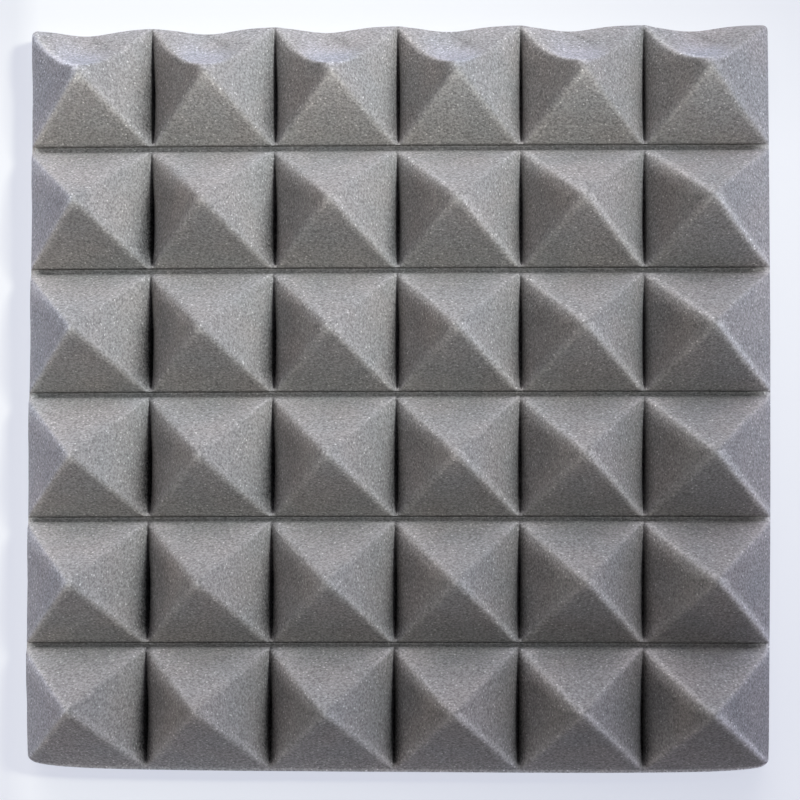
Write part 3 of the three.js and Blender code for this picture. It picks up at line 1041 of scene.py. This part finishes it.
def add_relief(tree, shader, place, height, strength, distance):
    """A Bump node between a height and the shader."""
    bump = add_node(tree, "ShaderNodeBump", place, None, {"Strength": strength, "Distance": distance})
    tree.links.new(height, bump.inputs["Height"])
    tree.links.new(bump.outputs["Normal"], shader.inputs["Normal"])


def foam_tint(tree, place):
    """Two greys in soft clouds, with a painted cool or warm tint of light by face."""
    greys = ((0.252, 0.2545, 0.257), (0.2725, 0.2635, 0.261))
    plain = (1.0, 1.0, 1.0)
    cool = (0.97, 1.0, 1.09)
    warm = (1.03, 1.0, 0.955)
    cloud = add_node(tree, "ShaderNodeTexNoise", (2, 4), None, {"Scale": 45.0, "Detail": 3.0})
    tree.links.new(place, cloud.inputs["Vector"])
    blotch = spread(tree, (3, 4), cloud.outputs["Fac"], 0.35, 0.65, 0.0, 1.0)
    grey = mix_colors(tree, (4, 4), "MIX", blotch, *greys)

    painted_tint = add_node(tree, "ShaderNodeAttribute", (2, 6), {"attribute_name": "painted_tint"}).outputs["Fac"]
    cooler = mix_colors(tree, (4, 5), "MIX", painted_tint, plain, cool)
    warmth = calculate(tree, (3, 6), "MULTIPLY", painted_tint, -1.0)
    tinted = mix_colors(tree, (5, 5), "MIX", warmth, cooler, warm)
    return mix_colors(tree, (6, 4), "MULTIPLY", 1.0, grey, tinted)


def foam_material(open_cells):
    """Mid-grey speckled open-cell foam: painted highlights on ridges, painted shade a little ragged at
    slits.
    """
    material, tree, shader, place = new_material("grey_foam", 0.95, 0.15)
    # How much the cells roughen the painted shade, and the darkest that shade may make the foam
    raggedness = 0.1
    darkest = 0.03
    cells = place_group(tree, open_cells, (2, 0), place, {"Cells per Metre": 950.0, "Speckle": 0.3})
    pale = add_node(tree, "ShaderNodeAttribute", (2, 2), {"attribute_name": "painted_light_and_shade"}).outputs["Fac"]
    shade = add_node(tree, "ShaderNodeAttribute", (2, 3), {"attribute_name": "shade"}).outputs["Fac"]
    grey = foam_tint(tree, place)

    paler = calculate(tree, (4, 2), "ADD", pale, 1.0)
    rough = calculate(tree, (3, 2), "MULTIPLY", cells.outputs["Relief"], raggedness)
    ragged = calculate(tree, (3, 3), "MULTIPLY", calculate(tree, (4, 6), "SUBTRACT", 1.0, rough), shade)
    darker = calculate(tree, (5, 3), "MAXIMUM", calculate(tree, (4, 3), "SUBTRACT", 1.0, ragged), darkest)
    tone = calculate(tree, (5, 1), "MULTIPLY", cells.outputs["Tone"], paler)
    tone = calculate(tree, (6, 1), "MULTIPLY", tone, darker)
    color = mix_colors(tree, (8, 1), "MULTIPLY", 1.0, grey, tone)
    tree.links.new(color, shader.inputs["Base Color"])
    add_relief(tree, shader, (9, 3), cells.outputs["Relief"], 0.28, 0.0002)
    return material


def tape_material(open_cells):
    """Off-white closed-cell foam tape."""
    material, tree, shader, place = new_material("foam_tape", 0.8, 0.3)
    cells = place_group(tree, open_cells, (2, 0), place, {"Cells per Metre": 3200.0, "Speckle": 0.07})
    color = mix_colors(tree, (8, 1), "MULTIPLY", 1.0, (0.78, 0.77, 0.73), cells.outputs["Tone"])
    tree.links.new(color, shader.inputs["Base Color"])
    add_relief(tree, shader, (9, 3), cells.outputs["Relief"], 0.4, 0.00006)
    return material


def paper_material():
    """Cream release paper: a faint lie of fibres under a smooth coat."""
    material, tree, shader, place = new_material("release_paper", 0.42, 0.5)
    lie = add_node(tree, "ShaderNodeMapping", (1, 1), None, {"Scale": (1.0, 7.0, 1.0)})
    tree.links.new(place, lie.inputs["Vector"])
    fibres = add_node(tree, "ShaderNodeTexNoise", (2, 1), None, {"Scale": 420.0, "Detail": 5.0})
    tree.links.new(lie.outputs["Vector"], fibres.inputs["Vector"])
    cloud = add_node(tree, "ShaderNodeTexNoise", (2, 3), None, {"Scale": 130.0, "Detail": 2.0})
    tree.links.new(place, cloud.inputs["Vector"])
    fibre = spread(tree, (3, 1), fibres.outputs["Fac"], 0.3, 0.7, 0.0, 1.0)
    cream = mix_colors(tree, (5, 1), "MIX", fibre, (0.83, 0.76, 0.55), (0.88, 0.83, 0.64))
    shade = spread(tree, (3, 3), cloud.outputs["Fac"], 0.3, 0.7, 0.94, 1.03)
    color = mix_colors(tree, (8, 1), "MULTIPLY", 1.0, cream, shade)
    tree.links.new(color, shader.inputs["Base Color"])
    roughness = spread(tree, (6, 3), cloud.outputs["Fac"], 0.3, 0.7, 0.36, 0.5)
    tree.links.new(roughness, shader.inputs["Roughness"])
    add_relief(tree, shader, (9, 3), fibres.outputs["Fac"], 0.3, 0.00003)
    return material


# Floor and light


def seen_directly(tree, place):
    """1 for the camera's own rays, and for those that a mirror or glass passes on, and else 0."""
    path = add_node(tree, "ShaderNodeLightPath", place)
    beyond = (place[0] + 1, place[1])
    either = calculate(tree, beyond, "MAXIMUM", path.outputs["Is Camera Ray"], path.outputs["Is Glossy Ray"])
    further = (place[0] + 2, place[1])
    return calculate(tree, further, "MAXIMUM", either, path.outputs["Is Transmission Ray"])


def floor_material():
    """White floor that keeps a light bluish shadow, painted darker at the tile's left, and nearly white
    elsewhere.
    """
    material = bpy.data.materials.new("studio_floor")
    material.use_nodes = True
    tree = material.node_tree
    tree.nodes.remove(tree.nodes["Principled BSDF"])
    place = add_node(tree, "ShaderNodeTexCoord", (0, 2)).outputs["Object"]
    parts = add_node(tree, "ShaderNodeSeparateXYZ", (1, 2))
    tree.links.new(place, parts.inputs["Vector"])
    # Seen directly, the floor is darker beyond the upper edge, which evens out the lamp there, and painted
    # darker left of the tile, a painted shade where the tile's shadow lies
    topward = spread(tree, (2, 3), parts.outputs["Y"], 0.1, 0.16, 1.0, 0.7)
    leftward = spread(tree, (2, 5), parts.outputs["X"], -0.16, -0.15, 0.7, 1.0)
    level = calculate(tree, (3, 2), "MULTIPLY", leftward, topward)
    evened = mix_colors(tree, (4, 2), "MULTIPLY", 1.0, (0.88, 0.87, 0.72), level)
    # The light that the floor throws back is painted darker towards the bottom: painted shade on the lowest
    # row
    darker = spread(tree, (2, 4), parts.outputs["Y"], -0.25, 0.15, 0.7, 1.0)
    bounce = mix_colors(tree, (4, 3), "MULTIPLY", 1.0, (0.8, 0.84, 0.98), darker)
    seen = seen_directly(tree, (0, 0))
    color = mix_colors(tree, (5, 1), "MIX", seen, bounce, evened)
    matte = add_node(tree, "ShaderNodeBsdfDiffuse", (6, 1))
    tree.links.new(color, matte.inputs["Color"])
    glow = add_node(
        tree, "ShaderNodeEmission", (6, 2), None, {"Color": (0.825, 0.8625, 1.0, 1), "Strength": 1.2}
    )
    share = calculate(tree, (4, 0), "MULTIPLY", seen, 0.6)
    mix = add_node(tree, "ShaderNodeMixShader", (7, 1))
    tree.links.new(share, mix.inputs["Fac"])
    tree.links.new(matte.outputs["BSDF"], mix.inputs[1])
    tree.links.new(glow.outputs["Emission"], mix.inputs[2])
    tree.links.new(mix.outputs["Shader"], tree.nodes["Material Output"].inputs["Surface"])
    return material


def make_floor():
    """The floor that the tile lies on, which belongs to the stage and not to the part."""
    bpy.ops.mesh.primitive_plane_add(size=6.0, location=(0, 0, 0))
    floor = bpy.context.object
    floor.name = "floor"
    floor.data.materials.append(floor_material())


def make_key():
    """A lamp from the upper right, aimed at the tile's upper left, so its light falls off from there."""
    place = Vector((0.729, 0.358, 1.219))
    aim = Vector((-0.139, 0.116, 0.03))
    lamp = bpy.data.lights.new("key", "SPOT")
    lamp.energy = 106.0
    lamp.color = (0.965, 0.99, 0.965)
    lamp.spot_size = math.radians(27.3)
    lamp.spot_blend = 1.0
    lamp.shadow_soft_size = 0.125
    key = bpy.data.objects.new("key", lamp)
    bpy.context.scene.collection.objects.link(key)
    key.location = place
    key.rotation_mode = "QUATERNION"
    key.rotation_quaternion = (aim - place).to_track_quat("-Z", "Y")
    key.visible_camera = False


def make_surroundings():
    """Soft room light: a pale band round the horizon, brightest at the sides, and a lamp at the top."""
    world = bpy.context.scene.world or bpy.data.worlds.new("world")
    bpy.context.scene.world = world
    world.use_nodes = True
    tree = world.node_tree
    room = tree.nodes["Background"]
    direction = add_node(tree, "ShaderNodeTexCoord", (0, 1)).outputs["Generated"]
    parts = add_node(tree, "ShaderNodeSeparateXYZ", (1, 1))
    tree.links.new(direction, parts.inputs["Vector"])
    x, y, z = parts.outputs
    rightwards = spread(tree, (2, 5), x, -0.9, 0.9, 0.0, 1.0)
    tint = mix_colors(tree, (7, 3), "MIX", rightwards, (1.04, 0.985, 0.955), (0.985, 0.98, 1.2))
    tree.links.new(tint, room.inputs["Color"])

    to_right = calculate(tree, (2, 0), "MULTIPLY", x, 0.4)
    to_top = calculate(tree, (2, 1), "MULTIPLY", y, 0.34)
    x_squared = calculate(tree, (2, 2), "MULTIPLY", x, x)
    y_squared = calculate(tree, (2, 3), "MULTIPLY", y, y)
    sideways = calculate(tree, (3, 2), "SUBTRACT", x_squared, y_squared)
    band = calculate(tree, (4, 0), "ADD", calculate(tree, (3, 0), "ADD", to_right, to_top), 1.26)
    band = calculate(tree, (5, 0), "ADD", band, calculate(tree, (4, 2), "MULTIPLY", sideways, 0.4))
    near_horizon = spread(tree, (5, 2), z, 0.2, 0.5, 1.0, 0.0, smooth=True)
    band = calculate(tree, (6, 0), "MULTIPLY", band, near_horizon)
    far_left = spread(tree, (3, 6), x, -0.95, -0.5, 3.2, 0.0)
    near_floor = spread(tree, (3, 7), z, 0.05, 0.35, 1.0, 0.0)
    band = calculate(tree, (7, 0), "ADD", band, calculate(tree, (4, 6), "MULTIPLY", far_left, near_floor))

    elevation = math.radians(36)
    toward = add_node(tree, "ShaderNodeVectorMath", (2, 4), {"operation": "DOT_PRODUCT"})
    tree.links.new(direction, toward.inputs[0])
    toward.inputs[1].default_value = (0, math.cos(elevation), math.sin(elevation))
    top = spread(tree, (3, 4), toward.outputs["Value"], 0.84, 0.96, 0.0, 2.7, smooth=True)
    tree.links.new(calculate(tree, (7, 1), "ADD", band, top), room.inputs["Strength"])

    backdrop = add_node(
        tree, "ShaderNodeBackground", (8, 3), None, {"Color": (0.92, 0.94, 1.0, 1), "Strength": 1.0}
    )
    mix = add_node(tree, "ShaderNodeMixShader", (10, 1))
    tree.links.new(seen_directly(tree, (5, 4)), mix.inputs["Fac"])
    tree.links.new(room.outputs["Background"], mix.inputs[1])
    tree.links.new(backdrop.outputs["Background"], mix.inputs[2])
    tree.links.new(mix.outputs["Shader"], tree.nodes["World Output"].inputs["Surface"])


make_camera()
clear_selection()
open_cells = open_cells_group()
foam = make_foam()
foam.data.materials.append(foam_material(open_cells))
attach(foam, "root")
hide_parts("foam_tile")
make_pads_and_liners(tape_material(open_cells), paper_material())
make_floor()
make_key()
make_surroundings()

bpy.context.scene.view_settings.view_transform = "Standard"
